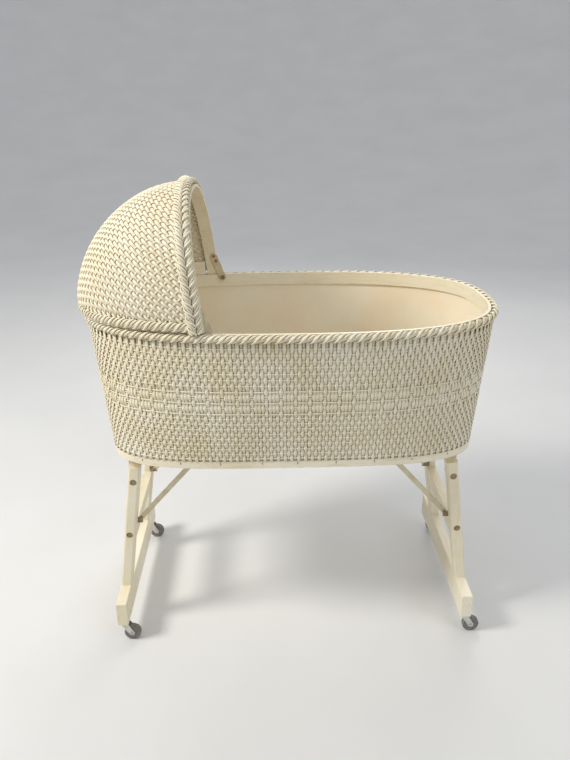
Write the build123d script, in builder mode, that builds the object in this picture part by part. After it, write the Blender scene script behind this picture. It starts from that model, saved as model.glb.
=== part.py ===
from build123d import *
import os
from math import atan2, cos, degrees, hypot, pi, radians, sin

# Woven bassinet with a tilting hood, on two folding leg frames with casters.
# Millimetres, +Z up, floor at z=0, hood at the -X (head) end, +X is the foot end.
SX = 7.5  # basket centre along X, so that hood and basket share the origin

# rim and base of the basket
RIM_A, RIM_B, RIM_N = 440.0, 252.0, 2.7
RIM_TOP = 754.0
BRAID_H = 16.0
BAND_H, BAND_T = 30.0, 6.0
BASE_A, BASE_B, BASE_N = 402.0, 213.0, 4.0
RAIL_Z0, RAIL_Z1 = 451.0, 467.0
BOARD_T = 6.0
WALL_T = 7.0
LINING_T = 1.7
GAP = 0.3

# hood
HOOD_A, HOOD_B = 455.0, 250.0
HOOD_Z = 756.0
HOOD_FRONT = -188.0
HOOD_APEX = -218.0
HOOD_RISE = 250.0
HOOD_M = 1.95
HOOD_N = 2.5
HOOD_BACK = -363.0
HOOD_T = 8.0
FOOT_BAND_A, FOOT_BAND_B, FOOT_BAND_T = 442.0, 240.0, 5.0
FOOT_BRAID_A, FOOT_BRAID_B, FOOT_BRAID_IN = 450.0, 250.0, 243.4
FOOT_BRAID_Z0, FOOT_BRAID_Z1 = 759.0, 779.0
BOW_W, BOW_T = 28.0, 6.0
TILT_X, TILT_Z = -162.0, 747.0
STRAP_Y, STRAP_T, STRAP_R = 221.2, 2.0, 8.0
STRAP_TOP = (-182.0, 799.0)

# leg frames, given for the foot end; the head end mirrors them
HINGE_X, HINGE_Z = 353.0, 385.0
FOOT_X, FOOT_Z = 393.5, 108.0
LEG_W, LEG_D = 25.0, 32.0
LEG_Y = 149.0
STUB = 35.0
SPREADER_Z, SPREADER_H, SPREADER_T, SPREADER_DROP = 248.0, 45.0, 20.0, 12.5
RAIL_X, RAIL_W, RAIL_H, RAIL_Y = 394.0, 25.0, 59.0, 216.0
PIN_X, PIN_Z = 353.0, 268.0
GUIDE_X, GUIDE_Z = 195.0, 445.0
HEAD_FOLD, FOOT_FOLD = 98.0, 86.0
STAY_W, STAY_T, STAY_Y = 12.0, 3.0, 113.0
PIN_R = 2.5

# casters
CASTER_Y, WHEEL_R, WHEEL_W, TRAIL = 200.0, 19.0, 13.0, 17.0

os.makedirs("parts", exist_ok=True)


def save(name, part):
    if isinstance(part, list):
        part = Compound(children=part)
    part.label = name
    export_step(part, f"parts/{name}.step")


def power(value, n):
    return (1 if value >= 0 else -1) * abs(value) ** (2.0 / n)


def oval(a, b, n, count=64):
    # closed superellipse, in the plane of the sketch, centred on the basket
    steps = [2 * pi * i / count for i in range(count)]
    return [(SX + a * power(cos(t), n), b * power(sin(t), n)) for t in steps]


def oval_y(x, a, b, n):
    return b * (1 - (abs(x) / a) ** n) ** (1.0 / n)


def mixed(inset, z, count=64):
    # wall of the basket: base oval blended into rim oval by height
    t = (z - RAIL_Z1) / (RIM_TOP - BRAID_H - RAIL_Z1)
    low = oval(BASE_A - inset, BASE_B - inset, BASE_N, count)
    high = oval(RIM_A - 4 - inset, RIM_B - 4 - inset, RIM_N, count)
    return [(p[0] + t * (q[0] - p[0]), p[1] + t * (q[1] - p[1])) for p, q in zip(low, high)]


def wall(inset, z0, z1):
    with BuildPart() as solid:
        for z in (z0, z1):
            with BuildSketch(Plane.XY.offset(z)):
                with BuildLine():
                    Spline(*mixed(inset, z), periodic=True)
                make_face()
        loft(ruled=True)
    return solid.part


def slab(a, b, n, z0, z1):
    with BuildPart() as solid:
        with BuildSketch(Plane.XY.offset(z0)):
            with BuildLine():
                Spline(*oval(a, b, n), periodic=True)
            make_face()
        extrude(amount=z1 - z0)
    return solid.part


def box(x0, x1, y0, y1, z0, z1):
    middle = ((x0 + x1) / 2, (y0 + y1) / 2, (z0 + z1) / 2)
    return Pos(*middle) * Box(x1 - x0, y1 - y0, z1 - z0)


def rod_y(x, z, r, y0, y1):
    return Pos(x, (y0 + y1) / 2, z) * Rot(90, 0, 0) * Cylinder(r, abs(y1 - y0))


def rod_z(x, y, r, z0, z1):
    return Pos(x, y, (z0 + z1) / 2) * Cylinder(r, z1 - z0)


def both(part):
    # near piece (-Y) and its mirror image (+Y)
    return [part, mirror(part, about=Plane.XZ)]


# ---- basket -------------------------------------------------------------
screw_spots = [(sx * HINGE_X, 101.0) for sx in (-1, 1)] + [(x, 99.0) for x in (-180, 0, 180)]
screw_spots = [(x + SX, sy * y) for x, y in screw_spots for sy in (-1, 1)]
screws = [rod_z(x, y, 2.0, RAIL_Z1 - 3, RAIL_Z1 + 5) for x, y in screw_spots]
heads = [rod_z(x, y, 4.0, RAIL_Z1 - 5.5, RAIL_Z1 - 3) for x, y in screw_spots]

board = wall(WALL_T + GAP, RAIL_Z1, RAIL_Z1 + BOARD_T)
for x, y in screw_spots:
    board -= rod_z(x, y, 2.05, RAIL_Z1 - 3, RAIL_Z1 + 5.1)
save("base_board", board)
save("bracket_screws", Compound(children=[s + h for s, h in zip(screws, heads)]))

rail = slab(BASE_A - 2, BASE_B - 2, BASE_N, RAIL_Z0, RAIL_Z1)
rail -= slab(BASE_A - 16, BASE_B - 16, BASE_N, RAIL_Z0 - 1, RAIL_Z1 + 1)
nails = []
for side in (-1, 1):
    for x in (-320, -238, -155, -68, 5, 85, 165, 245, 325):
        # flat-headed nails, seen as short upright ticks in the rail's upper half
        y = oval_y(x, BASE_A - 2, BASE_B - 2, BASE_N)
        nails.append(Pos(x + SX, side * (y - 4.3), 462.4) * Box(1.4, 9.4, 5.4))
        rail -= Pos(x + SX, side * (y - 3.5), 462.4) * Box(1.5, 11.2, 5.5)
save("base_rail", rail)
save("base_nails", Compound(children=nails))

WEAVE_TOP = RIM_TOP - BRAID_H
weave = wall(0, RAIL_Z1, WEAVE_TOP) - wall(WALL_T, RAIL_Z1, WEAVE_TOP)
save("woven_body", weave)

lining_top = RIM_TOP - BAND_H - GAP
lining = wall(WALL_T + GAP, RAIL_Z1 + BOARD_T, lining_top)
lining -= wall(WALL_T + GAP + LINING_T, RAIL_Z1 + BOARD_T, lining_top)
save("body_lining", lining)

BAND_A, BAND_B = 426.4, 238.7
pivot_x = TILT_X + SX
tilt_rods = [rod_y(pivot_x, TILT_Z, PIN_R, s * 219.2, s * 231.0) for s in (-1, 1)]
band = slab(BAND_A, BAND_B, RIM_N, RIM_TOP - BAND_H, RIM_TOP)
band -= slab(BAND_A - BAND_T, BAND_B - BAND_T, RIM_N, RIM_TOP - BAND_H - 1, RIM_TOP + 1)
for s in (-1, 1):
    band -= rod_y(pivot_x, TILT_Z, PIN_R + 0.05, s * 215.0, s * 240.0)
save("rim_band", band)

braid = slab(RIM_A, RIM_B, RIM_N, WEAVE_TOP, RIM_TOP)
braid -= slab(BAND_A, BAND_B, RIM_N, WEAVE_TOP - 1, RIM_TOP + 1)
save("rim_braid", braid)

save("mattress_board", slab(388.0, 201.0, BASE_N, RAIL_Z1 + BOARD_T, RAIL_Z1 + BOARD_T + 6))

tilt_screws = []
for s, rod in zip((-1, 1), tilt_rods):
    head = rod_y(pivot_x, TILT_Z, 5.0, s * 218.0, s * 221.0)
    collar = rod_y(pivot_x, TILT_Z, 4.5, s * 223.4, s * 225.4)
    tilt_screws.append(rod + head + collar)
save("hood_pivot_screws", Compound(children=tilt_screws))

# ---- hood ---------------------------------------------------------------


def hood_form(inset, x, y, h):
    # below 1 inside the dome, above 1 outside; x and y from the basket centre, h above the hood's foot
    rise = HOOD_RISE - inset
    if h >= rise:
        return 2.0
    front = -HOOD_FRONT - (HOOD_APEX - HOOD_FRONT) * h / HOOD_RISE
    length = -HOOD_APEX + (HOOD_A + HOOD_APEX - inset) * (1 - (h / rise) ** HOOD_M) ** (1 / HOOD_M)
    mouth = (oval_y(HOOD_FRONT, HOOD_A, HOOD_B, RIM_N) - inset) * (1 - (h / rise) ** HOOD_N) ** (1 / HOOD_N)
    width = mouth / max(1 - (front / length) ** RIM_N, 1e-9) ** (1 / RIM_N)
    return (abs(x) / length) ** RIM_N + (abs(y) / max(width, 1e-6)) ** RIM_N


def hood_section(s, inset):
    # foot of the arch at s (0 mouth, 1 back), direction of its plane, and its outline in that plane
    foot = HOOD_FRONT + s * (HOOD_BACK - HOOD_FRONT)
    turn = atan2(HOOD_FRONT - HOOD_APEX, HOOD_RISE)
    turn += (pi / 2 - turn) * s
    back, up = -sin(turn), cos(turn)
    curve = []
    for i in range(25):
        a = pi * i / 24
        low, high = 0.0, 400.0
        for _ in range(40):
            r = (low + high) / 2
            rise = r * sin(a)
            inside = hood_form(inset, foot + back * rise, r * cos(a), up * rise) < 1
            low, high = (r, high) if inside else (low, r)
        curve.append((low * cos(a), low * sin(a)))
    return foot, back, up, curve


def hood_solid(inset, sections, shifts):
    with BuildPart() as solid:
        for s, shift in zip(sections, shifts):
            foot, back, up, curve = hood_section(s, inset)
            plane = Plane(origin=(foot + SX + shift, 0, HOOD_Z), x_dir=(0, 1, 0), z_dir=(up, 0, -back))
            with BuildSketch(plane):
                with BuildLine():
                    Spline(*curve)
                    Line(curve[-1], curve[0])
                make_face()
        loft()
    return solid.part


steps = [i / 8 for i in range(9)]
hood = hood_solid(0, steps, [0] * 9)
hood -= hood_solid(HOOD_T, steps, [9] + [0] * 8)
# the weave ends on the plaited border that runs round the hood's foot
hood -= box(-600, 200, -300, 300, 700, FOOT_BRAID_Z1 + GAP)
save("hood_weave", hood)

# mouth of the hood: its plane leans back from foot by dx over dz
foot, squareness = HOOD_FRONT + SX, HOOD_N
wide = oval_y(HOOD_FRONT, HOOD_A, HOOD_B, RIM_N)
dx, dz = HOOD_APEX - HOOD_FRONT, HOOD_RISE
lean = hypot(dx, dz)
bow_front = foot + 17


def arch_face(inset, origin_x, low=0.0):
    # upright arch in the leaning plane of the hood's mouth
    plane = Plane(origin=(origin_x, 0, HOOD_Z), x_dir=(0, 1, 0), z_dir=(dz / lean, 0, -dx / lean))
    count = [pi * i / 28 for i in range(29)]
    w, h = wide - inset, lean - inset
    curve = [(w * power(cos(t), squareness), h * power(sin(t), squareness)) for t in count]
    with BuildSketch(plane) as sketch:
        with BuildLine():
            Spline(*curve)
            Polyline(curve[-1], (-w, low), (w, low), curve[0]) if low else Line(curve[-1], curve[0])
        make_face()
    return sketch.sketch


bow = extrude(arch_face(9.8, bow_front), amount=-BOW_W)
bow -= extrude(arch_face(9.8 + BOW_T, bow_front + 1, -5.0), amount=-BOW_W - 3)
bow -= box(-300, 0, -300, 300, 700, RIM_TOP + 0.8)

strap_dx, strap_dz = STRAP_TOP[0] - TILT_X, STRAP_TOP[1] - TILT_Z
rivets, straps = [], {}
for side, name in ((-1, "near"), (1, "far")):
    y0, y1 = sorted((side * STRAP_Y, side * (STRAP_Y + STRAP_T)))
    plane = Plane(origin=(pivot_x, y0, TILT_Z), x_dir=(1, 0, 0), z_dir=(0, 1, 0))
    turn = degrees(atan2(-strap_dz, strap_dx))
    length = hypot(strap_dx, strap_dz)
    with BuildPart() as strap:
        with BuildSketch(plane):
            SlotCenterToCenter(length, 2 * STRAP_R, rotation=turn)
        extrude(amount=y1 - y0)
    piece = Pos(strap_dx / 2, 0, strap_dz / 2) * strap.part
    piece -= rod_y(pivot_x, TILT_Z, PIN_R + 0.05, y0 - 1, y1 + 1)
    for along in (0.78, 1.02):
        x, z = pivot_x + along * strap_dx, TILT_Z + along * strap_dz
        pin = rod_y(x, z, 2.2, side * (STRAP_Y - 1), side * (STRAP_Y + 8))
        clear = rod_y(x, z, 2.25, side * (STRAP_Y - 1), side * (STRAP_Y + 8.1))
        piece -= clear
        bow -= clear
        rivets.append(pin + rod_y(x, z, 3.6, side * (STRAP_Y - 1.5), side * STRAP_Y))
    straps[name] = piece
save("hood_bow", bow)
for name, piece in straps.items():
    save(f"hood_strap_{name}", piece)
save("strap_rivets", Compound(children=rivets))

band = slab(FOOT_BAND_A, FOOT_BAND_B, RIM_N, RIM_TOP + GAP, HOOD_Z + 30)
band -= slab(FOOT_BAND_A - FOOT_BAND_T, FOOT_BAND_B - FOOT_BAND_T, RIM_N, RIM_TOP - 1, HOOD_Z + 31)
band &= box(-500, HOOD_FRONT + 17 - BOW_W - GAP - 5 + SX, -300, 300, 700, 800)
save("hood_base_band", band)

braid = slab(FOOT_BRAID_A, FOOT_BRAID_B, RIM_N, FOOT_BRAID_Z0, FOOT_BRAID_Z1)
braid -= slab(FOOT_BAND_A + GAP, FOOT_BRAID_IN, RIM_N, FOOT_BRAID_Z0 - 1, FOOT_BRAID_Z1 + 1)
braid &= box(-500, HOOD_FRONT - 3 + SX, -300, 300, 700, 800)
save("hood_base_braid", braid)

count = [pi * i / 28 for i in range(29)]
shape = [(power(cos(t), squareness), power(sin(t), squareness)) for t in count]
path_pts = [
    (foot + 9 + dx * v, (wide - 0.5) * u, HOOD_Z + 0.6 + (dz - 0.5) * v) for u, v in shape
]
with BuildPart() as tube:
    with BuildLine() as path:
        Spline(*path_pts)
    with BuildSketch(Plane(origin=path_pts[0], x_dir=(1, 0, 0), z_dir=path.line % 0)):
        Ellipse(8.6, 7.2)
    sweep(path=path.line)
save("hood_front_braid", tube.part - box(-300, 0, -300, 300, 700, HOOD_Z + 0.5))

# ---- folding frames -----------------------------------------------------


def place(part, end):
    # foot-end piece in basket coordinates, mirrored for the head end
    if isinstance(part, list):
        return [place(piece, end) for piece in part]
    if end < 0:
        part = mirror(part, about=Plane.YZ)
    return Pos(SX, 0, 0) * part


axis_x, axis_z = FOOT_X - HINGE_X, FOOT_Z - HINGE_Z
axis_l = hypot(axis_x, axis_z)
ux, uz = axis_x / axis_l, axis_z / axis_l
side_x = LEG_W / 2 / abs(uz)
TOP_X, TOP_Z = HINGE_X - STUB * ux, HINGE_Z - STUB * uz


def leg(y0, y1):
    # upright whose foot is cut level and whose head is square to its axis
    nx, nz = -uz * LEG_W / 2, ux * LEG_W / 2
    with BuildPart() as post:
        with BuildSketch(Plane(origin=(0, y0, 0), x_dir=(1, 0, 0), z_dir=(0, 1, 0))):
            Polygon(
                (FOOT_X - side_x, -FOOT_Z),
                (FOOT_X + side_x, -FOOT_Z),
                (TOP_X + nx, -TOP_Z - nz),
                (TOP_X - nx, -TOP_Z + nz),
                align=None,
            )
        extrude(amount=y1 - y0)
        fillet(post.edges().filter_by(lambda e: e.length > 200), 5.0)
    return post.part


def stay_path(fold, angle):
    # upper pin of the stay when its frame has folded by angle; the stay turns in proportion
    reach = hypot(PIN_X - GUIDE_X, GUIDE_Z - PIN_Z)
    rest = degrees(atan2(GUIDE_Z - PIN_Z, PIN_X - GUIDE_X))

    def pin(turn):
        px, pz = PIN_X - HINGE_X, PIN_Z - HINGE_Z
        c, s = cos(radians(turn)), sin(radians(turn))
        return HINGE_X + px * c + pz * s, HINGE_Z - px * s + pz * c

    last_z = pin(fold)[1]
    final = degrees(atan2(GUIDE_Z - last_z, (reach**2 - (GUIDE_Z - last_z) ** 2) ** 0.5))
    now = rest + (final - rest) * angle / fold
    x, z = pin(angle)
    return x - reach * cos(radians(now)), z + reach * sin(radians(now))


spreader_x = HINGE_X + ux * (SPREADER_Z - HINGE_Z) / uz
inner_y = LEG_Y - LEG_D
slots = []
for end, tag, fold in ((-1, "head", HEAD_FOLD), (1, "foot", FOOT_FOLD)):
    hinge = rod_y(HINGE_X, HINGE_Z, 4.0, -LEG_Y + 5, -107.0)
    hinge += rod_y(HINGE_X, HINGE_Z, 7.5, -LEG_Y + 1.5, -LEG_Y + 5)
    hinge += rod_y(HINGE_X, HINGE_Z, 7.0, -113.4, -108.5)
    save(f"{tag}_pivot_bolts", place(both(hinge), end))

    bolt = rod_y(spreader_x, SPREADER_Z, 4.0, -LEG_Y + 5, -inner_y + 25)
    bolt += rod_y(spreader_x, SPREADER_Z, 7.5, -LEG_Y + 1.5, -LEG_Y + 5)
    save(f"{tag}_spreader_bolts", place(both(bolt), end))

    post = leg(-LEG_Y, -inner_y)
    post -= rod_y(HINGE_X, HINGE_Z, 4.05, -LEG_Y - 1, -inner_y + 1)
    post -= rod_y(HINGE_X, HINGE_Z, 7.6, -LEG_Y - 1, -LEG_Y + 5.1)
    post -= rod_y(spreader_x, SPREADER_Z, 4.05, -LEG_Y - 1, -inner_y + 1)
    post -= rod_y(spreader_x, SPREADER_Z, 7.6, -LEG_Y - 1, -LEG_Y + 5.1)
    rivet = rod_y(PIN_X + 7.5, PIN_Z - 3, 2.0, -inner_y - 9, -inner_y + 2.5)
    post -= rod_y(PIN_X + 7.5, PIN_Z - 3, 2.05, -inner_y - 9.1, -inner_y + 2.5)
    save(f"{tag}_leg_near", place(post, end))
    save(f"{tag}_leg_far", place(mirror(post, about=Plane.XZ), end))

    bar = box(-SPREADER_T / 2, SPREADER_T / 2, -inner_y, inner_y, -SPREADER_H / 2, SPREADER_H / 2)
    bar = Pos(0, 0, -SPREADER_DROP) * bar
    bar = Pos(spreader_x, 0, SPREADER_Z) * Rot(0, -degrees(atan2(ux, -uz)), 0) * bar
    for s in (-1, 1):
        bar -= rod_y(spreader_x, SPREADER_Z, 4.05, s * (inner_y - 25.1), s * (inner_y + 1))
    save(f"{tag}_spreader", place(bar, end))

    z0 = FOOT_Z - RAIL_H
    with BuildPart() as shoe:
        with Locations((RAIL_X, 0, (z0 + FOOT_Z) / 2)):
            Box(RAIL_W, 2 * RAIL_Y, RAIL_H)
        fillet(shoe.edges().filter_by(Axis.Y), 3.0)
        chamfer(shoe.faces().sort_by(Axis.Y)[0].edges() + shoe.faces().sort_by(Axis.Y)[-1].edges(), 1.2)
    sleeve = rod_z(RAIL_X, -CASTER_Y, 6.5, z0 - 1.2, z0 + 32)
    bore = rod_z(RAIL_X, -CASTER_Y, 4.05, z0 - 2, z0 + 31)
    shoe_part = shoe.part
    for s in (-1, 1):
        shoe_part -= rod_z(RAIL_X, s * CASTER_Y, 6.55, z0 - 2, z0 + 32.1)
    flange = rod_z(RAIL_X, -CASTER_Y, 10.0, z0 - 1.2, z0)
    save(f"{tag}_foot_rail", place(shoe_part, end))
    save(f"{tag}_caster_sockets", place(both(sleeve + flange - bore), end))

    # small lug on each leg's inner face, with the pin the stay turns on
    lug = box(PIN_X - 6, PIN_X + 13, -inner_y, -inner_y + 2.5, PIN_Z - 8, PIN_Z + 6)
    pin = rod_y(PIN_X, PIN_Z, PIN_R, -inner_y + 2.5, -STAY_Y + STAY_T + 0.6)
    cap = rod_y(PIN_X, PIN_Z, 4.2, -STAY_Y + STAY_T + 0.6, -STAY_Y + STAY_T + 2.0)
    save(f"{tag}_stay_lugs", place(both(lug + pin + cap + rivet), end))

    reach = hypot(PIN_X - GUIDE_X, GUIDE_Z - PIN_Z)
    rest = degrees(atan2(GUIDE_Z - PIN_Z, PIN_X - GUIDE_X))
    middle = ((PIN_X + GUIDE_X) / 2, -STAY_Y, (PIN_Z + GUIDE_Z) / 2)
    flat = Plane(origin=middle, x_dir=(1, 0, 0), z_dir=(0, 1, 0))
    with BuildPart() as stay:
        with BuildSketch(flat):
            SlotCenterToCenter(reach, STAY_W - 1, rotation=rest)
        extrude(amount=STAY_T)
    upper = rod_y(GUIDE_X, GUIDE_Z, PIN_R, -STAY_Y, -105.0)
    upper += rod_y(GUIDE_X, GUIDE_Z, 5.0, -106.0, -104.6)
    piece = stay.part - rod_y(PIN_X, PIN_Z, PIN_R + 0.05, -120, -100)
    piece -= rod_y(GUIDE_X, GUIDE_Z, PIN_R + 0.05, -120, -100)
    save(f"{tag}_stay_near", place(piece, end))
    save(f"{tag}_stay_far", place(mirror(piece, about=Plane.XZ), end))
    save(f"{tag}_stay_pins", place(both(upper), end))

    hang = box(HINGE_X - 12, HINGE_X + 12, -116.7, -113.7, HINGE_Z, RAIL_Z1)
    hang += rod_y(HINGE_X, HINGE_Z, 12.0, -116.7, -113.7)
    hang += box(HINGE_X - 12, HINGE_X + 12, -113.7, -90.0, RAIL_Z1 - 3, RAIL_Z1)
    hang -= rod_y(HINGE_X, HINGE_Z, 4.05, -120, -110)
    hang -= rod_z(HINGE_X, -101.0, 2.05, 400, 500)
    save(f"{tag}_hinge_bracket_near", place(hang, end))
    save(f"{tag}_hinge_bracket_far", place(mirror(hang, about=Plane.XZ), end))

    track = [stay_path(fold, fold * i / 12) for i in range(13)]
    slots.append([(end * x + SX, z) for x, z in track])

    for side, where in ((-1, "near"), (1, "far")):
        y = side * CASTER_Y
        axle_z = WHEEL_R
        cx = end * RAIL_X + SX
        wx = cx + TRAIL
        fork = rod_z(cx, y, 4.0, z0 - 4, z0 + 28) + rod_z(cx, y, 10.5, z0 - 4.2, z0 - 1.5)
        for s in (-1, 1):
            y0, y1 = sorted((y + s * (WHEEL_W / 2 + 1), y + s * (WHEEL_W / 2 + 3)))
            with BuildPart() as cheek:
                with BuildSketch(Plane(origin=(0, y0, 0), x_dir=(1, 0, 0), z_dir=(0, 1, 0))):
                    Polygon(
                        (cx - 7, -(z0 - 4.2)),
                        (cx + 9, -(z0 - 4.2)),
                        (wx + 6, -(axle_z + 3)),
                        (wx + 4, -(axle_z - 5)),
                        (wx - 5, -(axle_z - 4)),
                        align=None,
                    )
                extrude(amount=y1 - y0)
            fork += cheek.part
        fork += box(cx - 7, cx + 9, y - WHEEL_W / 2 - 1, y + WHEEL_W / 2 + 1, z0 - 6.2, z0 - 4.2)
        axle = rod_y(wx, axle_z, 2.5, y - WHEEL_W / 2 - 4.2, y + WHEEL_W / 2 + 4.2)
        wheel = rod_y(wx, axle_z, WHEEL_R, y - WHEEL_W / 2, y + WHEEL_W / 2)
        wheel = fillet(wheel.edges(), 2.5)
        wheel -= rod_y(wx, axle_z, 2.55, y - 20, y + 20)
        fork -= rod_y(wx, axle_z, 2.55, y - 20, y + 20)
        save(f"{tag}_{where}_caster_fork", fork)
        save(f"{tag}_{where}_caster_wheel", wheel)
        save(f"{tag}_{where}_caster_axle", axle)

# guide plates under the board: each stay's upper pin follows its curved slot
for side, where in ((-1, "near"), (1, "far")):
    y0, y1 = sorted((side * 109.5, side * 106.5))
    plate = box(-215 + SX, 215 + SX, y0, y1, 411, RAIL_Z1)
    plate += box(-215 + SX, 215 + SX, *sorted((side * 90.0, side * 106.5)), RAIL_Z1 - 3, RAIL_Z1)
    for track in slots:
        with BuildPart() as slot:
            with BuildSketch(Plane(origin=(0, y0 - 1, 0), x_dir=(1, 0, 0), z_dir=(0, 1, 0))):
                with BuildLine():
                    line = Spline(*[(x, -z) for x, z in track])
                trace(line, line_width=2 * PIN_R + 1.0)
            extrude(amount=5)
        plate -= slot.part
        for x, z in (track[0], track[-1]):
            plate -= rod_y(x, z, PIN_R + 0.5, y0 - 1, y1 + 1)
    for x, y in screw_spots:
        plate -= rod_z(x, y, 2.05, RAIL_Z1 - 4, RAIL_Z1 + 1)
    save(f"guide_plate_{where}", plate)
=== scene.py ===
"""Wicker bassinet with a hood on a folding stand: woven shells, plaits, finishes, light and camera."""

import math

import bpy
import numpy as np
from mathutils import Matrix, Vector


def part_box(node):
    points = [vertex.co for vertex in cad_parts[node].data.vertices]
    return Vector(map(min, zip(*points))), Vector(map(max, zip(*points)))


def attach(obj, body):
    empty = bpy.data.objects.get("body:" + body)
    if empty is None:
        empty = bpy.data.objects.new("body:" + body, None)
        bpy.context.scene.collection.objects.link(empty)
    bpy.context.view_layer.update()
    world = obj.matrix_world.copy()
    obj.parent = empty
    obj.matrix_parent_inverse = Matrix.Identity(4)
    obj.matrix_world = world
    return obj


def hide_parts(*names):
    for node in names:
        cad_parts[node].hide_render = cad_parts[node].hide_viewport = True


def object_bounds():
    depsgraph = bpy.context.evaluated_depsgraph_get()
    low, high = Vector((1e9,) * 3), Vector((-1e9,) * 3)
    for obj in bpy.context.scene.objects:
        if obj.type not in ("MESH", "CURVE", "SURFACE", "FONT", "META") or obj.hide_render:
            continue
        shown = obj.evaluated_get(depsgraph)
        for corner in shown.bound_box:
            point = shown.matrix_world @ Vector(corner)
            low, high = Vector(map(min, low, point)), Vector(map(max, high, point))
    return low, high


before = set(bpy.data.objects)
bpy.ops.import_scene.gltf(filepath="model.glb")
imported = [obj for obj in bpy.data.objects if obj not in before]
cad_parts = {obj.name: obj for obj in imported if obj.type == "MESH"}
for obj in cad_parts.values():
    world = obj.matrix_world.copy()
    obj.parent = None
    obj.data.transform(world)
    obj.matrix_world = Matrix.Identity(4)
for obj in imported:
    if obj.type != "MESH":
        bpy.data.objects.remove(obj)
cad_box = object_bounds()

# ---- sizes, in metres, in the frame's own axes: X along the basket, Z up ----
CENTRE_X = 0.0075  # the basket's middle; the hood stands over the -X end

RIM_A, RIM_B, RIM_N = 0.436, 0.248, 2.7  # the wall's outline under the plaited rim
BASE_A, BASE_B, BASE_N = 0.402, 0.213, 4.0  # the wall's outline on the base rail
WALL_LOW, WALL_TOP = 0.467, 0.738
WALL_MIDDLE = 0.0033  # from the wall's outer face to the middle of the weave
STAKES = 308  # a multiple of 4, for the pattern band
PLAIN_ABOVE, PLAIN_BELOW = 0.0134, 0.0120  # row spacing over and under the pattern band
LINE_ROWS = (0.582, 0.607, 0.632)
BLOCK_ROWS = (0.5945, 0.6195)

HOOD_Z = 0.756
HOOD_WEAVE_Z = 0.777  # the weave ends here, behind the plait that runs round the hood's foot
HOOD_FRONT, HOOD_LEAN, HOOD_RISE = 0.188, 0.030, 0.250
HOOD_A, HOOD_B, HOOD_CROWN = 0.455, 0.250, 0.218
HOOD_M, HOOD_N = 1.95, 2.5
HOOD_TUCK, TUCK_TOP = 0.006, 0.048  # how far the weave draws in at its foot, and the height where that starts
HOOD_MIDDLE = 0.004
HOOD_TILT = math.radians(40)  # slope of the planes that the hood's flat stakes lie in
HOOD_STEP = 0.0065  # between those planes
HOOD_ROW = 0.0133  # between the hood's thin wefts

# ---- strands: how far each swings in and out of the weave, and its half width and half thickness ----
STAKE_REACH, STAKE_THICK = (0.00148, 0.00164), 0.0010
WEFT_REACH, WEFT_WIDE, BLOCK_WEFT_WIDE, WEFT_THICK = 0.00095, 0.0017, 0.0016, 0.0009
HOOD_STAKE_REACH = (0.00150, 0.00175)
HOOD_WEFT_REACH, HOOD_WEFT_WIDE, HOOD_WEFT_THICK = 0.00125, 0.0020, 0.0010

rng = np.random.default_rng(17)


# ---- small vector helpers ----
def unit(v):
    return v / np.maximum(np.linalg.norm(v, axis=-1, keepdims=True), 1e-12)


def power(v, n):
    return np.sign(v) * np.abs(v) ** (2 / n)


def smooth_noise(count, spread, reach):
    """Seeded noise that wanders slowly: count values about zero, smooth over reach samples."""
    raw = rng.normal(size=count + 6 * reach)
    kernel = np.hanning(2 * reach + 3)
    soft = np.convolve(raw, kernel / math.sqrt((kernel**2).sum()), "same")
    return spread * soft[3 * reach : 3 * reach + count]


# ---- strands: every cane, cord and core is a swept tube, many to a mesh ----
def strand(points, outward, half_width, half_thick, depth=None, tone=None, closed=False):
    """One strand as a dict of arrays. outward is the normal that its flat side faces."""
    return {
        "points": np.asarray(points, float),
        "outward": unit(np.asarray(outward, float)),
        "width": np.broadcast_to(np.asarray(half_width, float), len(points)),
        "thick": np.broadcast_to(np.asarray(half_thick, float), len(points)),
        "depth": np.zeros(len(points)) if depth is None else np.asarray(depth, float),
        "tone": rng.uniform() if tone is None else tone,
        "closed": closed,
    }


def tube_arrays(one, sides):
    points, n = one["points"], len(one["points"])
    if one["closed"]:
        along = unit(np.roll(points, -1, 0) - np.roll(points, 1, 0))
    else:
        along = unit(np.gradient(points, axis=0))
    across = unit(np.cross(along, one["outward"]))
    face = np.cross(across, along)
    angle = np.arange(sides) * 2 * np.pi / sides
    ring = (
        points[:, None]
        + across[:, None] * (one["width"][:, None] * np.cos(angle))[..., None]
        + face[:, None] * (one["thick"][:, None] * np.sin(angle))[..., None]
    )
    run = np.concatenate([[0], np.cumsum(np.linalg.norm(np.diff(points, axis=0), axis=1))])
    grain = np.stack(
        [
            np.broadcast_to(run[:, None], (n, sides)),
            np.broadcast_to((one["width"].mean() * np.cos(angle))[None], (n, sides)),
            np.full((n, sides), one["tone"] * 7.0),
        ],
        -1,
    )
    # depth runs deeper on each strand's inner face; the wicker material paints shade from it
    depth = one["depth"][:, None] + one["thick"][:, None] * np.sin(angle)
    corner = np.arange(n * sides).reshape(n, sides)
    beside = np.roll(corner, -1, 1)
    if one["closed"]:
        ahead, beside_ahead = np.roll(corner, -1, 0), np.roll(beside, -1, 0)
        quads = np.stack([corner, beside, beside_ahead, ahead], -1).reshape(-1, 4)
        caps = []
    else:
        quads = np.stack([corner[:-1], beside[:-1], beside[1:], corner[1:]], -1).reshape(-1, 4)
        caps = [corner[0, ::-1], corner[-1]]
    return ring.reshape(-1, 3), quads, caps, grain.reshape(-1, 3), depth.reshape(-1)


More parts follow.
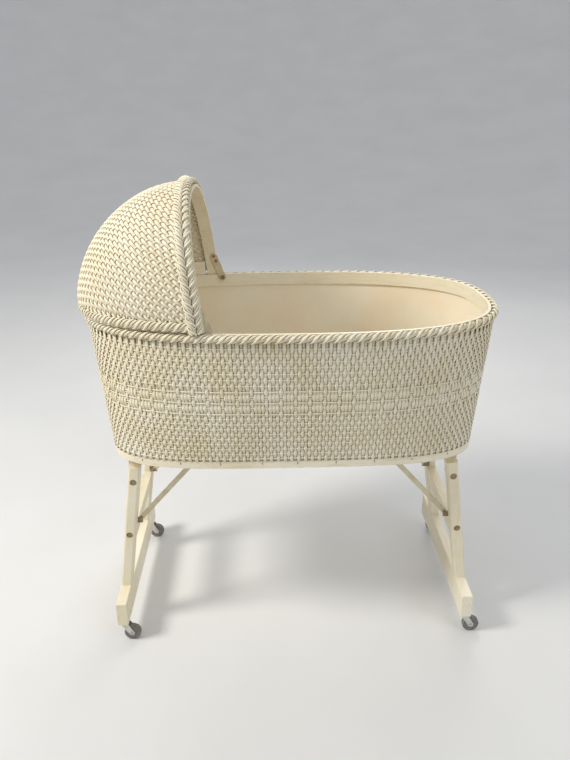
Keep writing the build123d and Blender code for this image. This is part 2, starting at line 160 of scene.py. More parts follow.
def woven_piece(name, strands, body, material, stands_for=(), sides=6):
    """One mesh of many strands, with their grain (length, across, strand) and depth kept on its points."""
    verts, quads, caps, grains, depths, tones, start = [], [], [], [], [], [], 0
    for one in strands:
        v, q, c, g, d = tube_arrays(one, sides)
        verts.append(v)
        quads.append(q + start)
        caps += [cap + start for cap in c]
        grains.append(g)
        depths.append(d)
        tones.append(np.full(len(v), one["tone"]))
        start += len(v)
    verts, quads = np.concatenate(verts), np.concatenate(quads)
    loops = np.concatenate([quads.reshape(-1)] + caps)
    sizes = np.concatenate([np.full(len(quads), 4), [len(c) for c in caps]]).astype(np.int32)
    mesh = bpy.data.meshes.new(name)
    mesh.vertices.add(len(verts))
    mesh.vertices.foreach_set("co", verts.reshape(-1).astype(np.float32))
    mesh.loops.add(len(loops))
    mesh.loops.foreach_set("vertex_index", loops.astype(np.int32))
    mesh.polygons.add(len(sizes))
    mesh.polygons.foreach_set("loop_start", np.concatenate([[0], np.cumsum(sizes)[:-1]]).astype(np.int32))
    mesh.polygons.foreach_set("loop_total", sizes)
    mesh.polygons.foreach_set("use_smooth", np.ones(len(sizes), bool))
    grain = mesh.attributes.new("grain", "FLOAT_VECTOR", "POINT")
    grain.data.foreach_set("vector", np.concatenate(grains).reshape(-1).astype(np.float32))
    depth = mesh.attributes.new("depth", "FLOAT", "POINT")
    depth.data.foreach_set("value", np.concatenate(depths).astype(np.float32))
    tone = mesh.attributes.new("tone", "FLOAT", "POINT")
    tone.data.foreach_set("value", np.concatenate(tones).astype(np.float32))
    mesh.update(calc_edges=True)
    mesh.validate()
    mesh.materials.append(material)
    piece = bpy.data.objects.new(name, mesh)
    bpy.context.scene.collection.objects.link(piece)
    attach(piece, body)
    if stands_for:
        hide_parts(*stands_for)
    return piece


# ---- materials ----
CREAM = (0.80, 0.72, 0.52, 1)
PALE = (0.87, 0.82, 0.67, 1)
STRAW = (0.54, 0.43, 0.25, 1)
SHADE = (0.36, 0.27, 0.15, 1)
BARE_WOOD = (0.46, 0.31, 0.16, 1)
RUST = (0.20, 0.15, 0.10, 1)
RUBBER, DUST = (0.16, 0.155, 0.145, 1), (0.34, 0.32, 0.28, 1)
FLOOR_DARK, FLOOR_PALE = (0.66, 0.66, 0.65, 1), (0.70, 0.70, 0.69, 1)


def material(name):
    m = bpy.data.materials.new(name)
    m.use_nodes = True
    nodes, links = m.node_tree.nodes, m.node_tree.links
    return m, nodes, links, nodes["Principled BSDF"]


def noise(nodes, links, vector, scale, detail=4, roughness=0.55, stretch=(1, 1, 1)):
    mapping = nodes.new("ShaderNodeMapping")
    mapping.inputs["Scale"].default_value = stretch
    links.new(vector, mapping.inputs["Vector"])
    tex = nodes.new("ShaderNodeTexNoise")
    tex.inputs["Scale"].default_value = scale
    tex.inputs["Detail"].default_value = detail
    tex.inputs["Roughness"].default_value = roughness
    links.new(mapping.outputs["Vector"], tex.inputs["Vector"])
    return tex.outputs["Fac"]


def ramp(nodes, links, value, low, high, start=0.0, end=1.0):
    node = nodes.new("ShaderNodeMapRange")
    node.inputs["From Min"].default_value = low
    node.inputs["From Max"].default_value = high
    node.inputs["To Min"].default_value = start
    node.inputs["To Max"].default_value = end
    links.new(value, node.inputs["Value"])
    return node.outputs["Result"]


def mix(nodes, links, factor, a, b, blend="MIX"):
    node = nodes.new("ShaderNodeMix")
    node.data_type = "RGBA"
    node.blend_type = blend
    sockets = {s.identifier: s for s in node.inputs}
    for key, value in (("Factor_Float", factor), ("A_Color", a), ("B_Color", b)):
        if isinstance(value, (tuple, float, int)):
            sockets[key].default_value = value
        else:
            links.new(value, sockets[key])
    return {s.identifier: s for s in node.outputs}["Result_Color"]


def math_node(nodes, links, operation, a, b):
    node = nodes.new("ShaderNodeMath")
    node.operation = operation
    for socket, value in zip(node.inputs, (a, b)):
        if isinstance(value, (float, int)):
            socket.default_value = value
        else:
            links.new(value, socket)
    return node.outputs[0]


def bump(nodes, links, shader, height, strength, distance):
    node = nodes.new("ShaderNodeBump")
    node.inputs["Strength"].default_value = strength
    node.inputs["Distance"].default_value = distance
    links.new(height, node.inputs["Height"])
    links.new(node.outputs["Normal"], shader.inputs["Normal"])


def edge_mask(nodes, links, radius):
    """1 on sharp edges, 0 on flats."""
    bevel = nodes.new("ShaderNodeBevel")
    bevel.samples = 4
    bevel.inputs["Radius"].default_value = radius
    geometry = nodes.new("ShaderNodeNewGeometry")
    dot = nodes.new("ShaderNodeVectorMath")
    dot.operation = "DOT_PRODUCT"
    links.new(bevel.outputs["Normal"], dot.inputs[0])
    links.new(geometry.outputs["Normal"], dot.inputs[1])
    return ramp(nodes, links, dot.outputs["Value"], 0.995, 0.86)


def wicker_material():
    """Cream paint over twisted paper fibre: fine ribs along each strand, and painted shade in straw tones in
    the hollows of the weave.
    """
    m, nodes, links, shader = material("Painted wicker")
    grain = nodes.new("ShaderNodeAttribute")
    grain.attribute_name = "grain"
    depth = nodes.new("ShaderNodeAttribute")
    depth.attribute_name = "depth"
    tone = nodes.new("ShaderNodeAttribute")
    tone.attribute_name = "tone"
    where = nodes.new("ShaderNodeTexCoord").outputs["Object"]
    fibre = noise(nodes, links, grain.outputs["Vector"], 1.0, 5, 0.6, (260, 1900, 1))
    blotch = noise(nodes, links, where, 9, 4)
    speck = noise(nodes, links, where, 420, 3, 0.7)
    base = mix(nodes, links, ramp(nodes, links, blotch, 0.36, 0.66), CREAM, PALE)
    base = mix(nodes, links, ramp(nodes, links, tone.outputs["Fac"], 0, 1, 0.0, 0.13), base, STRAW)
    # painted shade: the deeper a point lies in the weave, the more straw colour it takes, by an amount that
    # varies with the blotches
    hollow = ramp(nodes, links, depth.outputs["Fac"], -0.0004, -0.0032)
    hollow_shade = math_node(nodes, links, "MULTIPLY", hollow, ramp(nodes, links, blotch, 0.3, 0.7, 0.60, 0.30))
    base = mix(nodes, links, hollow_shade, base, STRAW)
    chips = ramp(nodes, links, speck, 0.68, 0.74, 0.0, 0.40)
    base = mix(nodes, links, chips, base, SHADE)
    ribs = ramp(nodes, links, fibre, 0.35, 0.65, 0.0, 0.16)
    base = mix(nodes, links, ribs, base, STRAW)
    links.new(base, shader.inputs["Base Color"])
    links.new(ramp(nodes, links, fibre, 0.3, 0.7, 0.42, 0.66), shader.inputs["Roughness"])
    shader.inputs["Specular IOR Level"].default_value = 0.38
    height = math_node(nodes, links, "ADD", fibre, math_node(nodes, links, "MULTIPLY", speck, 0.5))
    bump(nodes, links, shader, height, 0.55, 0.0007)
    return m


def painted_wood(name, axis, tint=CREAM, worn=True, streaks=1.0):
    """Brushed cream paint on timber, with its grain along one axis, or "ring" for a bent hoop."""
    m, nodes, links, shader = material(name)
    where = nodes.new("ShaderNodeTexCoord").outputs["Object"]
    stretch = {"x": (6, 90, 90), "y": (90, 6, 90), "z": (90, 90, 6), "ring": (14, 14, 150)}[axis]
    grain = noise(nodes, links, where, 1.0, 6, 0.6, stretch)
    fine = noise(nodes, links, where, 1.0, 5, 0.65, tuple(v * 5 for v in stretch))
    blotch = noise(nodes, links, where, 7, 5)
    spots = noise(nodes, links, where, 55, 4, 0.7)
    base = mix(nodes, links, ramp(nodes, links, blotch, 0.35, 0.68), tint, PALE)
    base = mix(nodes, links, ramp(nodes, links, grain, 0.5, 0.8, 0.0, 0.34 * streaks), base, STRAW)
    base = mix(nodes, links, ramp(nodes, links, spots, 0.62, 0.74, 0.0, 0.35), base, STRAW)
    if worn:
        edges, patches = edge_mask(nodes, links, 0.0016), ramp(nodes, links, spots, 0.42, 0.6)
        rubbed = math_node(nodes, links, "MULTIPLY", edges, patches)
        base = mix(nodes, links, math_node(nodes, links, "MULTIPLY", rubbed, 0.75), base, BARE_WOOD)
    links.new(base, shader.inputs["Base Color"])
    links.new(ramp(nodes, links, fine, 0.3, 0.7, 0.34, 0.58), shader.inputs["Roughness"])
    shader.inputs["Specular IOR Level"].default_value = 0.42
    height = math_node(nodes, links, "ADD", math_node(nodes, links, "MULTIPLY", grain, 0.9), fine)
    bump(nodes, links, shader, height, 0.35, 0.0009)
    return m


def metal(name, tint, stain, rough, painted=False):
    """Metal with tarnish, scratches and, where painted, chips down to the steel on its edges."""
    m, nodes, links, shader = material(name)
    where = nodes.new("ShaderNodeTexCoord").outputs["Object"]
    cloud = noise(nodes, links, where, 60, 5, 0.65)
    grit = noise(nodes, links, where, 480, 4, 0.7)
    scratch = noise(nodes, links, where, 1.0, 4, 0.6, (60, 700, 700))
    base = mix(nodes, links, ramp(nodes, links, cloud, 0.45, 0.7, 0.0, 0.75), tint, stain)
    base = mix(nodes, links, ramp(nodes, links, grit, 0.6, 0.72, 0.0, 0.5), base, stain)
    if painted:
        edges, patches = edge_mask(nodes, links, 0.0012), ramp(nodes, links, cloud, 0.42, 0.56)
        base = mix(nodes, links, math_node(nodes, links, "MULTIPLY", edges, patches), base, RUST)
    links.new(base, shader.inputs["Base Color"])
    shader.inputs["Metallic"].default_value = 0.0 if painted else 1.0
    links.new(ramp(nodes, links, scratch, 0.3, 0.7, rough - 0.1, rough + 0.14), shader.inputs["Roughness"])
    bump(nodes, links, shader, math_node(nodes, links, "ADD", cloud, scratch), 0.25, 0.0004)
    return m


def board_material(name, tint, scale):
    """Smooth pressed board: faint mottling, soft ripples from the stakes behind it, a few pale stains."""
    m, nodes, links, shader = material(name)
    where = nodes.new("ShaderNodeTexCoord").outputs["Object"]
    mottle = noise(nodes, links, where, scale, 5)
    fibre = noise(nodes, links, where, 240, 4, 0.7)
    ripple = noise(nodes, links, where, 1.0, 3, 0.5, (70, 70, 9))
    base = mix(nodes, links, ramp(nodes, links, mottle, 0.36, 0.66), tint, PALE)
    base = mix(nodes, links, ramp(nodes, links, fibre, 0.6, 0.75, 0.0, 0.22), base, STRAW)
    links.new(base, shader.inputs["Base Color"])
    links.new(ramp(nodes, links, mottle, 0.3, 0.7, 0.48, 0.66), shader.inputs["Roughness"])
    shader.inputs["Specular IOR Level"].default_value = 0.3
    height = math_node(nodes, links, "ADD", math_node(nodes, links, "MULTIPLY", ripple, 1.4), fibre)
    bump(nodes, links, shader, height, 0.3, 0.0011)
    return m


def rubber_material():
    m, nodes, links, shader = material("Caster tyre")
    where = nodes.new("ShaderNodeTexCoord").outputs["Object"]
    dust = noise(nodes, links, where, 140, 5, 0.7)
    scuff = noise(nodes, links, where, 900, 3, 0.6)
    base = mix(nodes, links, ramp(nodes, links, dust, 0.42, 0.68, 0.0, 0.6), RUBBER, DUST)
    links.new(base, shader.inputs["Base Color"])
    links.new(ramp(nodes, links, scuff, 0.3, 0.7, 0.55, 0.85), shader.inputs["Roughness"])
    bump(nodes, links, shader, scuff, 0.3, 0.0004)
    return m


WICKER = wicker_material()
WOOD = {axis: painted_wood(f"Painted timber {axis}", axis) for axis in ("x", "y", "z", "ring")}
RAIL_WOOD = painted_wood("Painted base rail", "ring", streaks=1.5)
LINING = board_material("Lining board", (0.86, 0.74, 0.56, 1), 6)
BOARD = painted_wood("Plain board", "x", tint=(0.80, 0.68, 0.47, 1), worn=False, streaks=1.7)
# painted shade: the steel's cream paint is a darker copy of the timber's cream, for stays and brackets seen
# in shade under the basket
PAINTED_STEEL = metal("Painted steel", (0.70, 0.62, 0.44, 1), (0.56, 0.46, 0.28, 1), 0.46, painted=True)
FASTENER = metal("Fastener steel", (0.36, 0.29, 0.19, 1), (0.17, 0.11, 0.06, 1), 0.5)
CASTER = metal("Caster steel", (0.66, 0.66, 0.64, 1), (0.40, 0.37, 0.32, 1), 0.33)
TYRE = rubber_material()


def finish_of(node):
    if "caster_wheel" in node:
        return TYRE
    if "caster" in node:
        return CASTER
    if any(word in node for word in ("bolts", "nails", "screws", "rivets", "lugs", "pins")):
        return FASTENER
    if any(word in node for word in ("stay_", "bracket", "guide_plate", "hood_strap")):
        return PAINTED_STEEL
    if node == "body_lining":
        return LINING
    if node in ("base_board", "mattress_board"):
        return BOARD
    if node == "base_rail":
        return RAIL_WOOD
    if "band" in node or "bow" in node:
        return WOOD["ring"]
    if "foot_rail" in node or "spreader" in node:
        return WOOD["y"]
    return WOOD["z"]


for node_name, node_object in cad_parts.items():
    finish = finish_of(node_name)
    if not node_object.material_slots:
        node_object.data.materials.append(finish)
    for place in node_object.material_slots:
        place.material = finish


# ---- the basket's wall ----
def wall(inset, heights, fractions):
    """Points on the wall: a row for each height, evenly spaced round it at the given fractions."""
    turn = np.linspace(0, 2 * np.pi, 6001)
    rows = []
    for z in heights:
        t = (z - WALL_LOW) / (WALL_TOP - WALL_LOW)
        low = (BASE_A - inset) * power(np.cos(turn), BASE_N), (BASE_B - inset) * power(np.sin(turn), BASE_N)
        top = (RIM_A - inset) * power(np.cos(turn), RIM_N), (RIM_B - inset) * power(np.sin(turn), RIM_N)
        x, y = (1 - t) * low[0] + t * top[0], (1 - t) * low[1] + t * top[1]
        run = np.concatenate([[0], np.cumsum(np.hypot(np.diff(x), np.diff(y)))])
        at = fractions * run[-1]
        place = CENTRE_X + np.interp(at, run, x), np.interp(at, run, y), np.full(len(at), z)
        rows.append(np.stack(place, -1))
    return np.array(rows)


def wall_normals(points):
    round_it = np.roll(points, -1, 1) - np.roll(points, 1, 1)
    up = np.gradient(points, axis=0)
    return unit(np.cross(round_it, up))


def weave_rows():
    """(height, kind) of every row from the base rail up: plain, line and block."""
    rows = [(z, "line") for z in LINE_ROWS] + [(z, "block") for z in BLOCK_ROWS]
    z, n = LINE_ROWS[0] - PLAIN_BELOW, 0
    while z > WALL_LOW + 0.004:
        rows.append((z, "plain"))
        z -= PLAIN_BELOW
    z = LINE_ROWS[-1] + PLAIN_ABOVE
    while z < WALL_TOP - 0.003:
        rows.append((z, "plain"))
        z += PLAIN_ABOVE
    return sorted(rows)


def stake_side(row, kind, stake):
    """+1 where a stake passes outside the weft, -1 where it passes inside."""
    if kind == "line":
        return np.where(stake % 4 == 3, 1.0, -1.0)
    if kind == "block":
        return np.where(stake % 4 == 3, -1.0, 1.0)
    return np.where((stake + row) % 2 == 0, 1.0, -1.0)


def basket_weave():
    rows = weave_rows()
    heights = np.array([z for z, _ in rows])
    stake = np.arange(STAKES)
    sides = np.array([stake_side(i, kind, stake) for i, (_, kind) in enumerate(rows)])
    # stakes: four rings to a row
    levels, weights = [WALL_LOW + 0.0004], []
    for low, high in zip(heights[:-1], heights[1:]):
        levels += list(low + (high - low) * np.arange(4) / 4)
    levels = np.array(levels + [heights[-1], WALL_TOP + 0.003])
    place = np.interp(levels, heights, np.arange(len(heights)))
    below = np.minimum(place.astype(int), len(heights) - 2)
    ease = (1 - np.cos(np.pi * (place - below))) / 2
    swing = sides[below] * (1 - ease)[:, None] + sides[below + 1] * ease[:, None]
    fractions = stake / STAKES
    grid = wall(WALL_MIDDLE, levels, fractions)
    out = wall_normals(grid)
    side_ways = unit(np.cross(out, np.array([0, 0, 1.0])))
    pitch = np.linalg.norm(np.roll(grid, -1, 1) - grid, axis=-1)
    strands = []
    for k in stake:
        reach = rng.uniform(*STAKE_REACH)
        drift = smooth_noise(len(levels), 0.00022, 10)[:, None]
        points = grid[:, k] + out[:, k] * (swing[:, k] * reach)[:, None] + side_ways[:, k] * drift
        wide = 0.495 * pitch[:, k] * (1 + 0.03 * swing[:, k]) * rng.uniform(0.96, 1.02)
        strands.append(strand(points, out[:, k], wide, STAKE_THICK, swing[:, k] * reach))
    quarters = [strands[i * STAKES // 4 : (i + 1) * STAKES // 4] for i in range(4)]
    for i, quarter in enumerate(quarters):
        stands_for = ("woven_body",) if i == 0 else ()
        woven_piece(f"basket_stakes_{i}", quarter, "basket", WICKER, stands_for)
    # wefts: one strand round each row, two in a block row
    wefts = []
    fine = np.arange(2 * STAKES) / (2 * STAKES)
    for i, (z, kind) in enumerate(rows):
        at_stakes = -sides[i]
        swing_all = np.empty(2 * STAKES)
        swing_all[0::2] = at_stakes
        swing_all[1::2] = (at_stakes + np.roll(at_stakes, -1)) / 2
        shifts = (-0.0019, 0.0019) if kind == "block" else (0.0,)
        for shift in shifts:
            wander = smooth_noise(2 * STAKES, 0.00045, 24)
            wander *= np.sin(np.pi * fine) ** 0.25
            line = wall(WALL_MIDDLE, [z + shift - 0.001, z + shift, z + shift + 0.001], fine)
            normal = wall_normals(line)[1]
            points = line[1] + normal * (swing_all * WEFT_REACH)[:, None]
            points[:, 2] += wander
            wide = BLOCK_WEFT_WIDE if kind == "block" else WEFT_WIDE
            wefts.append(strand(points, normal, wide, WEFT_THICK, swing_all * WEFT_REACH, closed=True))
    woven_piece("basket_wefts", wefts, "basket", WICKER)


# ---- the hood's shell ----
def half_width(x):
    return HOOD_B * (1 - (x / HOOD_A) ** RIM_N) ** (1 / RIM_N)


def hood_form(inset, x, y, h):
    """Under 1 inside the hood's surface. x and y are from the basket's middle, h from the hood's foot."""
    rise = HOOD_RISE - inset
    up = np.clip(h / rise, 0, 1)
    front = HOOD_FRONT + HOOD_LEAN * h / HOOD_RISE
    length = HOOD_CROWN + (HOOD_A - HOOD_CROWN - inset) * (1 - up**HOOD_M) ** (1 / HOOD_M)
    tuck = HOOD_TUCK * np.clip(1 - h / TUCK_TOP, 0, 1) ** 2
    length -= tuck
    mouth = (half_width(HOOD_FRONT) - inset) * (1 - up**HOOD_N) ** (1 / HOOD_N) - tuck
    width = mouth / np.maximum(1 - np.minimum(front / length, 1) ** RIM_N, 1e-9) ** (1 / RIM_N)
    return (np.abs(x) / length) ** RIM_N + (np.abs(y) / np.maximum(width, 1e-6)) ** RIM_N


def hood_normals(points):
    step = 0.0003
    slope = []
    for axis in range(3):
        move = np.zeros(3)
        move[axis] = step
        ends = []
        for sign in (1, -1):
            p = points + sign * move
            height = np.maximum(p[..., 2] - HOOD_Z, 0)
            ends.append(hood_form(HOOD_MIDDLE, p[..., 0] - CENTRE_X, p[..., 1], height))
        slope.append(ends[0] - ends[1])
    return unit(np.stack(slope, -1))


def hood_curves():
    """The hood's flat stakes as dense curves, in planes that slope up and back. Run is 0 in the middle."""
    sin, cos = math.sin(HOOD_TILT), math.cos(HOOD_TILT)
    lean = HOOD_LEAN / HOOD_RISE
    foot_x = CENTRE_X - HOOD_FRONT
    weave_foot_x = foot_x - lean * (HOOD_WEAVE_Z - HOOD_Z)
    back = sin * (CENTRE_X - HOOD_A + HOOD_MIDDLE) + cos * HOOD_WEAVE_Z
    apex = sin * (foot_x - HOOD_LEAN) + cos * (HOOD_Z + HOOD_RISE - HOOD_MIDDLE)
    corner = sin * weave_foot_x + cos * HOOD_WEAVE_Z
    curves = []
    turn = np.linspace(0, np.pi, 721)
    for level in np.arange(back + 0.6 * HOOD_STEP, apex - 0.3 * HOOD_STEP, HOOD_STEP):
        if level < corner:
            z = HOOD_WEAVE_Z
            x = (level - cos * z) / sin
        else:
            z = (level - sin * (foot_x + lean * HOOD_Z)) / (cos - lean * sin)
            x = foot_x - lean * (z - HOOD_Z)
        ray = np.stack([-cos * np.sin(turn), -np.cos(turn), sin * np.sin(turn)], -1)
        near, far = np.zeros(len(turn)), np.full(len(turn), 0.7)
        for _ in range(40):
            middle = (near + far) / 2
            p = np.array([x - CENTRE_X, 0, z - HOOD_Z]) + ray * middle[:, None]
            inside = hood_form(HOOD_MIDDLE, p[:, 0], p[:, 1], p[:, 2]) < 1
            inside &= p[:, 2] < HOOD_RISE - HOOD_MIDDLE
            near, far = np.where(inside, middle, near), np.where(inside, far, middle)
        points = np.array([x, 0, z]) + ray * near[:, None]
        run = np.concatenate([[0], np.cumsum(np.linalg.norm(np.diff(points, axis=0), axis=1))])
        run -= run[len(run) // 2]
        if run[-1] > 0.012:
            curves.append((run, points))
    return curves


def along_curve(curve, at):
    run, points = curve
    return np.stack([np.interp(at, run, points[:, i]) for i in range(3)], -1)


def hood_weave():
    curves = hood_curves()
    stakes = []
    for k, curve in enumerate(curves):
        end = curve[0][-1]
        steps = int(end / (HOOD_ROW / 4))
        at = np.concatenate([[-end], np.arange(-steps, steps + 1) * HOOD_ROW / 4, [end]])
        at = at[np.concatenate([[True], np.diff(at) > 1e-4])]
        points = along_curve(curve, at)
        out = hood_normals(points)
        swing = np.cos(np.pi * at / HOOD_ROW + np.pi * k)
        reach = rng.uniform(*HOOD_STAKE_REACH)
        # the planes stand at a slant to the surface, so the strand widens where they spread
        beside = along_curve(curves[min(k + 1, len(curves) - 1)], at), along_curve(curves[max(k - 1, 0)], at)
        across = unit(np.cross(np.gradient(points, axis=0), out))
        gap = np.abs(((beside[0] - beside[1]) * across).sum(1)) / (2 if 0 < k < len(curves) - 1 else 1)
        wide = np.clip(gap, 0.0052, 0.0098) * 0.50 * rng.uniform(0.96, 1.02)
        drift = smooth_noise(len(at), 0.0002, 8)[:, None]
        line = points + out * (swing * reach)[:, None] + across * drift
        stakes.append(strand(line, out, wide * (1 + 0.04 * swing), STAKE_THICK, swing * reach))
    half = len(stakes) // 2
    woven_piece("hood_stakes_0", stakes[:half], "hood", WICKER, ("hood_weave",))
    woven_piece("hood_stakes_1", stakes[half:], "hood", WICKER)
    wefts = []
    most = int(max(c[0][-1] for c in curves) / HOOD_ROW)
    for j in range(-most, most + 1):
        reached = [k for k, c in enumerate(curves) if c[0][-1] >= abs(j) * HOOD_ROW]
        runs = np.split(reached, np.where(np.diff(reached) > 1)[0] + 1)
        for some in runs:
            if len(some) < 3:
                continue
            at = np.array([along_curve(curves[k], np.array([j * HOOD_ROW]))[0] for k in some])
            sign = -np.cos(np.pi * (j + some))
            points, swing = [at[0]], [sign[0]]
            for a, b, sa, sb in zip(at[:-1], at[1:], sign[:-1], sign[1:]):
                points += [(a + b) / 2, b]
                swing += [(sa + sb) / 2, sb]
            points, swing = np.array(points), np.array(swing)
            first, last = points[0] * 1.9 - points[1] * 0.9, points[-1] * 1.9 - points[-2] * 0.9
            points = np.concatenate([[first], points, [last]])
            swing = np.concatenate([[0], swing, [0]])
            out = hood_normals(points)
            line = points + out * (swing * HOOD_WEFT_REACH)[:, None]
            wefts.append(strand(line, out, HOOD_WEFT_WIDE, HOOD_WEFT_THICK, swing * HOOD_WEFT_REACH))
    woven_piece("hood_wefts", wefts, "hood", WICKER)


# ---- plaited borders ----
def evenly(points, step, closed):
    """Points along a line at an even step near the one asked for."""
    if closed:
        points = np.concatenate([points, points[:1]])
    run = np.concatenate([[0], np.cumsum(np.linalg.norm(np.diff(points, axis=0), axis=1))])
    count = max(int(round(run[-1] / step)), 8)
    at = np.linspace(0, run[-1], count + 1)
    if closed:
        at = at[:-1]
    return np.stack([np.interp(at, run, points[:, i]) for i in range(3)], -1), run[-1]


def resample(vectors, count):
    old, new = np.linspace(0, 1, len(vectors)), np.linspace(0, 1, count)
    return unit(np.stack([np.interp(new, old, vectors[:, i]) for i in range(3)], -1))


def rope(path, outward, up, half_out, half_up, lead, hand, closed, thick, bundles=2, cords=3, start=0.0):
    """Cords wound in flat bundles round an oval core; the lobes lean to the side that hand says."""
    even, length = evenly(path, lead / 22, closed)
    outs, ups = resample(outward, len(even)), resample(up, len(even))
    turns = round(length / lead) if closed else length / lead
    count = len(even)
    way = np.arange(count) / count if closed else np.linspace(0, 1, count)
    strands = []
    for b in range(bundles):
        tone = rng.uniform()
        for c in range(cords):
            middle = 2 * c / (cords - 1) - 1  # -1 on the edge tucked under the next lobe, 1 on the raised one
            angle = hand * 2 * np.pi * turns * way + 2 * np.pi * (b + 0.37 * middle) / bundles + start
            sink = thick * (1.5 - 1.5 * middle) * 0.75
            a, u = half_out - thick - sink, half_up - thick - sink
            spot = even + outs * (a * np.cos(angle))[:, None] + ups * (u * np.sin(angle))[:, None]
            facing = outs * (np.cos(angle) / a)[:, None] + ups * (np.sin(angle) / u)[:, None]
            wide = 0.5 * lead / bundles / cords * 0.74
            depth = np.full(count, 0.0012 + 0.0014 * middle)
            cord_tone = np.clip(tone + rng.uniform(-0.2, 0.2), 0, 1)
            strands.append(strand(spot, facing, wide, thick, depth, cord_tone, closed))
    core_wide, core_thick = (half_up - 3 * thick) * 0.95, (half_out - 3 * thick) * 0.95
    # the core's depth is set deep, so the wicker's painted shade darkens it where it shows between the cords
    strands.append(strand(even, outs, core_wide, core_thick, np.full(count, -0.0045), 0.8, closed))
    return strands


def rim_path(a, b, z, count=2400):
    turn = np.linspace(0, 2 * np.pi, count, endpoint=False)
    x, y = CENTRE_X + a * power(np.cos(turn), RIM_N), b * power(np.sin(turn), RIM_N)
    return np.stack([x, y, np.full(count, z)], -1)


def flat_outward(points):
    ahead = np.roll(points, -1, 0) - np.roll(points, 1, 0)
    return unit(np.cross(ahead, np.array([0, 0, 1.0])))


def plaited_borders():
    up = np.array([[0, 0, 1.0]])
    # the rim of the basket
    lo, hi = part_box("rim_braid")
    middle, _ = evenly(rim_path(0.4336, 0.2457, (lo.z + hi.z) / 2 + 0.0006), 0.004, True)
    ups = np.repeat(up, len(middle), 0)
    outward = flat_outward(middle)
    rim = rope(middle, outward, ups, 0.0080, 0.0095, lead=0.044, hand=1, closed=True, thick=0.0016)
    woven_piece("rim_plait", rim, "basket", WICKER, ("rim_braid",))
    # the foot of the hood: the same outline, behind the mouth only
    lo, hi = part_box("hood_base_braid")
    ring, _ = evenly(rim_path(0.4448, 0.2474, (lo.z + hi.z) / 2), 0.003, True)
    turn = np.roll(ring, -int(np.argmax(ring[:, 0])), 0)
    behind = turn[turn[:, 0] < CENTRE_X - HOOD_FRONT + 0.001]
    outward = unit(np.cross(np.gradient(behind, axis=0), np.array([0, 0, 1.0])))
    ups = np.repeat(up, len(behind), 0)
    foot = rope(behind, outward, ups, 0.0062, 0.0102, lead=0.040, hand=1, closed=False, thick=0.0015)
    woven_piece("hood_foot_plait", foot, "hood", WICKER, ("hood_base_braid",))
    # the mouth of the hood: two columns wound opposite ways, which read as one herringbone plait
    turn = np.linspace(0, np.pi, 1201)
    wide, tall = half_width(HOOD_FRONT), HOOD_RISE
    across, rise = wide * power(np.cos(turn), HOOD_N), tall * power(np.sin(turn), HOOD_N)
    lean = math.atan2(HOOD_LEAN, HOOD_RISE)
    forward = np.array([math.cos(lean), 0, math.sin(lean)])
    foot_x = CENTRE_X - HOOD_FRONT
    mouth = np.stack([foot_x - HOOD_LEAN * rise / tall, -across, HOOD_Z + 0.001 + rise], -1)
    mouth, _ = evenly(mouth, 0.003, False)
    radial = unit(np.cross(np.gradient(mouth, axis=0), forward))
    if radial[len(radial) // 2, 2] < 0:
        radial = -radial
    ahead = np.repeat(forward[None], len(mouth), 0)
    rear = mouth + radial * 0.0005 - ahead * 0.0045
    front = mouth - radial * 0.0045 + ahead * 0.0085
    wound = {"lead": 0.036, "closed": False, "thick": 0.0015}
    strands = rope(rear, radial, ahead, 0.0066, 0.0092, hand=-1, **wound)
    strands += rope(front, radial, ahead, 0.0068, 0.0084, hand=1, start=math.pi / 2, **wound)
    woven_piece("hood_mouth_plait", strands, "hood", WICKER, ("hood_front_braid",))


basket_weave()
hood_weave()
plaited_borders()


# ---- floor, light and camera ----
def floor():
    """A pale floor that is flat round the bassinet and rises gently into a wall on every side."""
    flat, edge, rise = 4.0, 16.0, 11.0
    across = np.concatenate([np.linspace(0, flat, 8)[1:], np.linspace(flat, edge, 30)[1:]])
    spokes = 96
    turn = np.arange(spokes) * 2 * np.pi / spokes
    verts = [(0.0, 0.0, 0.0)]
    for radius in across:
        t = max(radius - flat, 0) / (edge - flat)
        up = rise * (1 - math.sqrt(max(1 - t**2, 0)))
        verts += [(radius * math.cos(a), radius * math.sin(a), up) for a in turn]
    faces = [(0, 1 + j, 1 + (j + 1) % spokes) for j in range(spokes)]
    for i in range(len(across) - 1):
        inner, outer = 1 + i * spokes, 1 + (i + 1) * spokes
        for j in range(spokes):
            beside = (j + 1) % spokes
            faces.append((inner + j, outer + j, outer + beside, inner + beside))
    mesh = bpy.data.meshes.new("floor")
    mesh.from_pydata(verts, [], faces)
    mesh.polygons.foreach_set("use_smooth", [True] * len(faces))
    m, nodes, links, shader = material("Pale floor")
    where = nodes.new("ShaderNodeTexCoord").outputs["Object"]
    cloud = noise(nodes, links, where, 2.0, 4)
    base = mix(nodes, links, ramp(nodes, links, cloud, 0.3, 0.7), FLOOR_DARK, FLOOR_PALE)
    links.new(base, shader.inputs["Base Color"])
    shader.inputs["Roughness"].default_value = 0.8
    mesh.materials.append(m)
    bowl = bpy.data.objects.new("floor", mesh)
    bpy.context.scene.collection.objects.link(bowl)
    bowl.location.z = cad_box[0].z - 0.0005


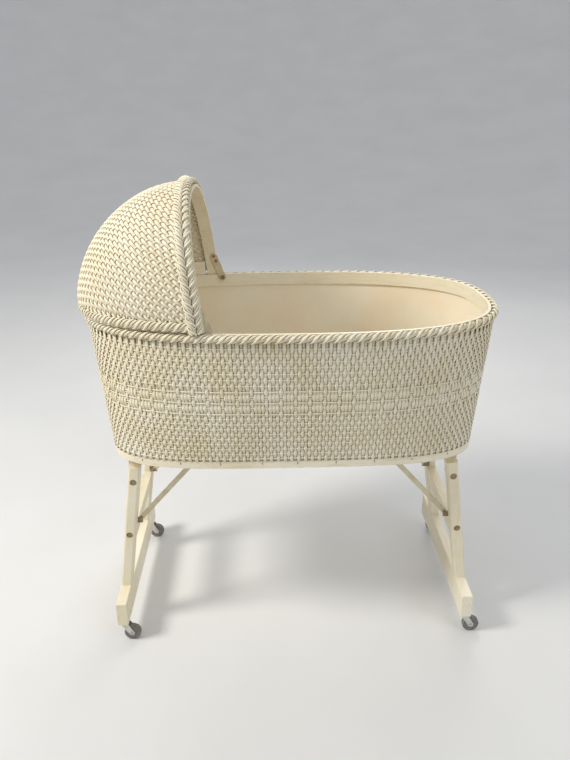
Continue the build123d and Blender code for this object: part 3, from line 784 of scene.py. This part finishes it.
def area_light(name, place, target, size, power_watts, colour):
    light = bpy.data.lights.new(name, "AREA")
    light.shape = "DISK"
    light.size = size
    light.energy = power_watts
    light.color = colour
    lamp = bpy.data.objects.new(name, light)
    bpy.context.scene.collection.objects.link(lamp)
    lamp.location = place
    direction = np.array(target) - np.array(place)
    lamp.rotation_mode = "QUATERNION"
    lamp.rotation_quaternion = Vector(direction).to_track_quat("-Z", "Y")


def studio():
    world = bpy.data.worlds.new("Studio")
    world.use_nodes = True
    world.node_tree.nodes["Background"].inputs["Color"].default_value = (0.93, 0.95, 1.0, 1)
    world.node_tree.nodes["Background"].inputs["Strength"].default_value = 0.70
    bpy.context.scene.world = world
    bpy.context.scene.view_settings.view_transform = "Standard"
    area_light("key", (-2.1, -0.7, 2.5), (0, 0, 0.6), 0.8, 66, (1.0, 0.965, 0.90))
    area_light("fill", (2.2, -1.8, 1.5), (0, 0, 0.5), 1.8, 12, (0.95, 0.97, 1.0))
    area_light("back", (0.6, 2.2, 2.2), (0, 0, 0.7), 1.4, 22, (1.0, 0.98, 0.95))


CAMERA_PLACE = (-0.0449, -1.4803, 1.1851)
CAMERA_TURN = (0.0253, 0.3991, -0.0068)  # yaw, pitch and roll, in radians
CAMERA_LENS = 33.1  # millimetres, on a 36 mm sensor


def camera():
    yaw, pitch, roll = CAMERA_TURN
    forward = Vector((math.sin(yaw) * math.cos(pitch), math.cos(yaw) * math.cos(pitch), -math.sin(pitch)))
    right = Vector((math.cos(yaw), -math.sin(yaw), 0))
    above = right.cross(forward)
    right, above = (
        right * math.cos(roll) + above * math.sin(roll),
        above * math.cos(roll) - right * math.sin(roll),
    )
    data = bpy.data.cameras.new("camera")
    data.sensor_width = 36
    data.lens = CAMERA_LENS
    eye = bpy.data.objects.new("camera", data)
    bpy.context.scene.collection.objects.link(eye)
    turn = Matrix((right, above, -forward)).transposed().to_4x4()
    eye.matrix_world = Matrix.Translation(CAMERA_PLACE) @ turn
    bpy.context.scene.camera = eye


floor()
studio()
camera()

bpy.context.view_layer.update()
